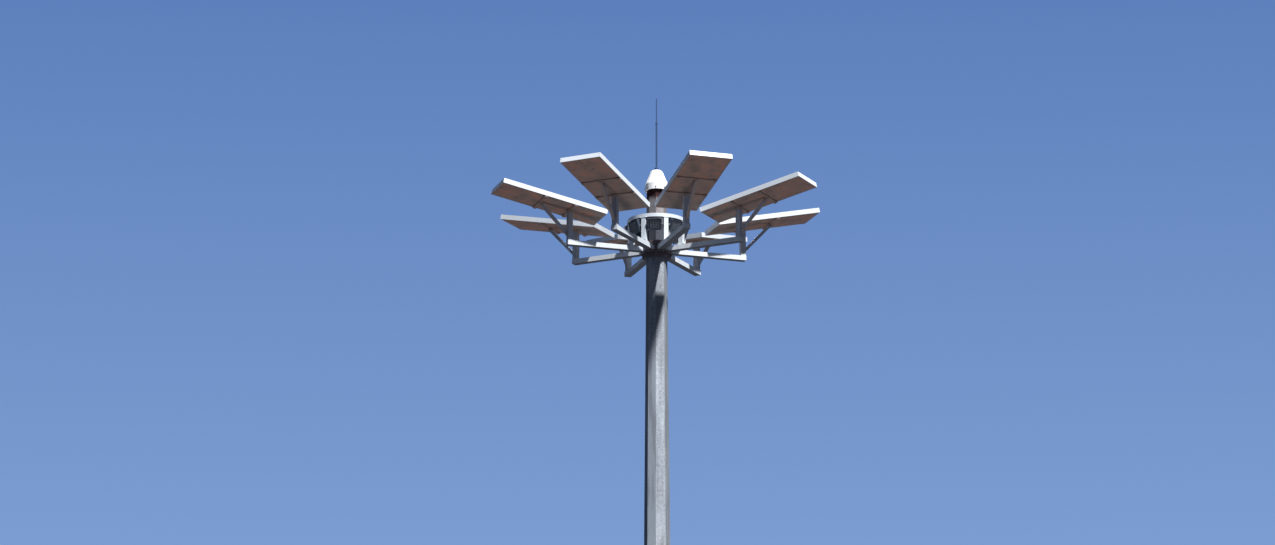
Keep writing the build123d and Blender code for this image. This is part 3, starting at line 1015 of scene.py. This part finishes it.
def make_cap_screws():
    # A screw in the cap's rim over each corner of the shaft.
    bm = bmesh.new()
    for turn in CORNER_TURNS:
        spot = shifted(mast_place(turn), x=CAP_SCREW_RADIUS, z=MAST_TOP + CAP_SCREW_RISE)
        add_bolt(bm, turned(spot, pi / 2, "Y"), CAP_SCREW)
    finish_piece("cap_rim_screws", bm, ZINC_BOLTS)


def make_rod_fittings():
    # The bolted plate at the rod's foot, and the collar where the rod gets thinner.
    bm = bmesh.new()
    foot = MAST_TOP + CAP_HEIGHT
    plate_top = foot + ROD_PLATE[1]
    add_disc(bm, Matrix.Translation((0, 0, foot)), *ROD_PLATE, sides=32, edge=PLATE_EDGE)
    for turn in (0, 90, 180, 270):
        add_bolt(bm, shifted(mast_place(turn), x=ROD_BOLT_RADIUS, z=plate_top), ROD_SCREW)
    collar = Matrix.Translation((0, 0, foot + ROD_COLLAR_RISE))
    add_disc(bm, collar, *ROD_COLLAR, sides=6, edge=COLLAR_EDGE)
    finish_piece("rod_fittings", bm, ROD_STEEL)


def make_shaft_seam():
    # The seam of each shaft section, on the face towards +Y.
    bm = bmesh.new()
    lower = (FLANGE_THICK, SLIP_START - SEAM_STOP)
    upper = (SLIP_START + SEAM_RESTART, MAST_TOP - SEAM_TOP_DROP)
    for low, high in (lower, upper):
        start = facet_place(90, low).translation
        end = facet_place(90, high).translation
        add_bead(bm, Matrix.Identity(4), start, end, FINE_BEAD)
    finish_piece("shaft_seam_bead", bm, STEEL, smooth=True)


def make_door_hinges():
    # A barrel and two leaves for each hinge, on the door's left side.
    bm = bmesh.new()
    door = facet_place(-90, DOOR_MIDDLE)
    left = -DOOR_WIDTH / 2
    for y in (-HINGE_SPREAD, HINGE_SPREAD):
        foot = shifted(door, left - BARREL_REACH, y - HINGE_BARREL[1] / 2, BARREL_REACH)
        on_frame = shifted(door, left - FRAME_LEAF_OUT, y)
        on_door = shifted(door, left + DOOR_LEAF_IN, y, DOOR_FACE)
        add_disc(bm, turned(foot, -pi / 2, "X"), *HINGE_BARREL, edge=PLATE_EDGE)
        add_plate(bm, on_frame, FRAME_LEAF, edge=LEAF_EDGE)
        add_plate(bm, on_door, DOOR_LEAF, edge=LEAF_EDGE)
    finish_piece("door_hinges", bm, STEEL)


def make_door_locks_and_screws():
    # Two screws in each hinge, and two key locks on the door's right side.
    bm = bmesh.new()
    door = facet_place(-90, DOOR_MIDDLE)
    screw_x = -DOOR_WIDTH / 2 + HINGE_SCREW_IN
    for y in (-HINGE_SPREAD, HINGE_SPREAD):
        for step in (-HINGE_SCREW_SPREAD, HINGE_SCREW_SPREAD):
            spot = shifted(door, screw_x, y + step, DOOR_FACE + DOOR_LEAF[2])
            add_bolt(bm, spot, HINGE_SCREW)
        lock = shifted(door, DOOR_WIDTH / 2 - LOCK_IN, y, DOOR_FACE)
        add_disc(bm, lock, *LOCK_PLATE, sides=24, edge=PLATE_EDGE)
        add_disc(bm, shifted(lock, z=LOCK_PLATE[1]), *LOCK_KEY, sides=3, edge=THIN_EDGE)
    finish_piece("door_locks_and_screws", bm, ZINC_BOLTS)


def make_earth_lug():
    # A lug with one bolt, a little over the base.
    bm = bmesh.new()
    lug = facet_place(-45, EARTH_LUG_HEIGHT)
    add_plate(bm, lug, EARTH_LUG, edge=BLOCK_EDGE)
    add_bolt(bm, shifted(lug, z=EARTH_LUG[2]), M12_HEAD)
    finish_piece("earth_lug", bm, ZINC_BOLTS)


def make_base_beads():
    # Beads along the stiffeners on the flange and the shaft, and round the shaft's foot.
    bm = bmesh.new()
    foot = facet_radius(FLANGE_THICK)
    gusset_top = FLANGE_THICK + GUSSET_HEIGHT
    head = facet_radius(gusset_top)
    corner = foot * tan(pi / SIDES) - FOOT_BEAD_STOP
    for turn in ARM_TURNS:
        place = mast_place(turn)
        for side in (-1, 1):
            y = side * GUSSET_THICK / 2
            start = (foot, y, FLANGE_THICK)
            add_bead(bm, place, start, (GUSSET_REACH, y, FLANGE_THICK), FINE_BEAD)
            add_bead(bm, place, start, (head, y, gusset_top), FINE_BEAD)
            add_bead(bm, place, start, (foot, side * corner, FLANGE_THICK), BROAD_BEAD)
    finish_piece("base_weld_beads", bm, BASE_STEEL, smooth=True)


def make_slip_joint_bead():
    # Sealing bead where the upper shaft section slips over the lower one.
    bm = bmesh.new()
    lip = facet_radius(SLIP_START - SEAL_FACE_DROP) + SEAL_REACH
    half = lip * tan(pi / SIDES) - SEAL_STOP
    level = SLIP_START - SEAL_DROP
    for turn in ARM_TURNS:
        add_bead(bm, mast_place(turn), (lip, -half, level), (lip, half, level), SEAL_BEAD)
    finish_piece("slip_joint_bead", bm, STEEL, smooth=True)


def make_anchor_bolts():
    # On each anchor bolt a washer, a nut and a thinner lock nut.
    bm = bmesh.new()
    nut_radius = M36_NUT / 2 / cos(pi / 6)
    for turn in CORNER_TURNS:
        washer = shifted(mast_place(turn), x=ANCHOR_CIRCLE, z=FLANGE_THICK)
        nut = shifted(washer, z=ANCHOR_WASHER[1])
        lock_nut = shifted(washer, z=ANCHOR_WASHER[1] + NUT_HEIGHT)
        stud = shifted(washer, z=-FLANGE_THICK)
        add_disc(bm, washer, *ANCHOR_WASHER, sides=24)
        add_disc(bm, nut, nut_radius, NUT_HEIGHT, sides=6, edge=NUT_EDGE)
        add_disc(bm, lock_nut, nut_radius, LOCK_NUT_HEIGHT, sides=6, edge=NUT_EDGE)
        add_disc(bm, stud, *ANCHOR_STUD, sides=20, edge=BLOCK_EDGE)
    finish_piece("anchor_bolts_and_nuts", bm, ZINC_BOLTS)


make_panel_glass()
make_rail_clips()
make_frame_screws()
make_post_plates()
make_post_plate_bolts()
make_arm_beads()
make_collar_and_strut_bolts()
make_lamp_bezels()
make_lamp_yoke_bolts()
make_lamp_lenses()
make_lamp_screws()
make_cap_roll()
make_cap_screws()
make_rod_fittings()
make_shaft_seam()
make_door_hinges()
make_door_locks_and_screws()
make_earth_lug()
make_base_beads()
make_slip_joint_bead()
make_anchor_bolts()


def towards(turn, rise):
    return Vector((sin(turn) * cos(rise), -cos(turn) * cos(rise), sin(rise)))


def make_camera():
    # Looks up at the head from the photo's side, a little lower than the hub.
    data = bpy.data.cameras.new("camera")
    camera = bpy.data.objects.new("camera", data)
    bpy.context.scene.collection.objects.link(camera)
    bpy.context.scene.camera = camera
    data.sensor_width = SENSOR_WIDTH
    data.lens = SENSOR_WIDTH * FOCAL_PIXELS / PHOTO_WIDTH
    data.clip_end = VIEW_REACH
    camera.location = Vector((0, 0, HUB)) + towards(VIEW_TURN, -VIEW_RISE) * VIEW_DISTANCE
    pitch = VIEW_RISE - atan(HUB_UP_PIXELS / FOCAL_PIXELS)
    ahead = -towards(VIEW_TURN + HUB_ASIDE, 0) * cos(pitch) + Vector((0, 0, sin(pitch)))
    right = ahead.cross(Vector((0, 0, 1))).normalized()
    up = right.cross(ahead)
    camera.rotation_mode = "QUATERNION"
    camera.rotation_quaternion = Matrix((right, up, -ahead)).transposed().to_quaternion()


def add_light(name, source, energy, soft, colour):
    data = bpy.data.lights.new(name, "SUN")
    data.energy = energy
    data.angle = radians(soft)
    data.color = colour
    light = bpy.data.objects.new(name, data)
    bpy.context.scene.collection.objects.link(light)
    light.rotation_mode = "QUATERNION"
    light.rotation_quaternion = (-source).to_track_quat("-Z", "Y")


def make_lights():
    # A hard sun from the viewer's right, and soft glows from the left, from behind and off the ground.
    sun = towards(VIEW_TURN + SUN_TURN, SUN_RISE)
    left = towards(VIEW_TURN + SIDE_TURN, SIDE_RISE)
    behind = towards(VIEW_TURN + BACK_TURN, BACK_RISE)
    below = Vector((0, 0, -1))
    add_light("key", sun, energy=8.0, soft=2.5, colour=(1.0, 0.98, 0.95))
    add_light("side_glow", left, energy=0.25, soft=60.0, colour=(0.5, 0.7, 1.0))
    add_light("back_glow", behind, energy=2.2, soft=40.0, colour=(0.92, 0.96, 1.0))
    add_light("ground_glow", below, energy=0.75, soft=22.0, colour=(1.0, 0.88, 0.8))


def make_sky():
    # A weak blue fill on the object, and a plain sky gradient that only the camera sees.
    world = bpy.data.worlds.new("studio")
    bpy.context.scene.world = world
    world.use_nodes = True
    tree = world.node_tree
    soft_fill = tree.nodes["Background"]
    soft_fill.inputs["Color"].default_value = FILL_COLOUR
    soft_fill.inputs["Strength"].default_value = FILL_STRENGTH
    ray = add_node(tree, "ShaderNodeTexCoord").outputs["Generated"]
    rise = add_node(tree, "ShaderNodeSeparateXYZ", {0: ray}).outputs[2]
    sky = mix_colours(tree, mapped(tree, rise, *SKY_SPAN), SKY_LOW, SKY_HIGH)
    backdrop = add_node(tree, "ShaderNodeBackground", {"Color": sky, "Strength": 1.0})
    seen = add_node(tree, "ShaderNodeLightPath").outputs["Is Camera Ray"]
    both = {0: seen, 1: soft_fill.outputs[0], 2: backdrop.outputs[0]}
    mixed = add_node(tree, "ShaderNodeMixShader", both)
    tree.links.new(mixed.outputs[0], tree.nodes["World Output"].inputs["Surface"])


def make_floor():
    # Pale to the camera and dark to bounced light. It casts no shadow, so that the glow from below
    # reaches the undersides as light off the ground does.
    bm = bmesh.new()
    bmesh.ops.create_grid(bm, x_segments=1, y_segments=1, size=FLOOR_REACH)
    mesh = bpy.data.meshes.new("floor")
    bm.to_mesh(mesh)
    bm.free()
    floor = bpy.data.objects.new("floor", mesh)
    bpy.context.scene.collection.objects.link(floor)
    mat, tree, shader = new_material("pale floor", 0.8)
    seen = add_node(tree, "ShaderNodeLightPath").outputs["Is Camera Ray"]
    base = mix_colours(tree, seen, FLOOR_UNSEEN, FLOOR_SEEN)
    tree.links.new(base, shader.inputs["Base Color"])
    mesh.materials.append(mat)
    floor.visible_shadow = False


make_camera()
make_lights()
make_sky()
make_floor()
bpy.context.scene.view_settings.view_transform = "Standard"
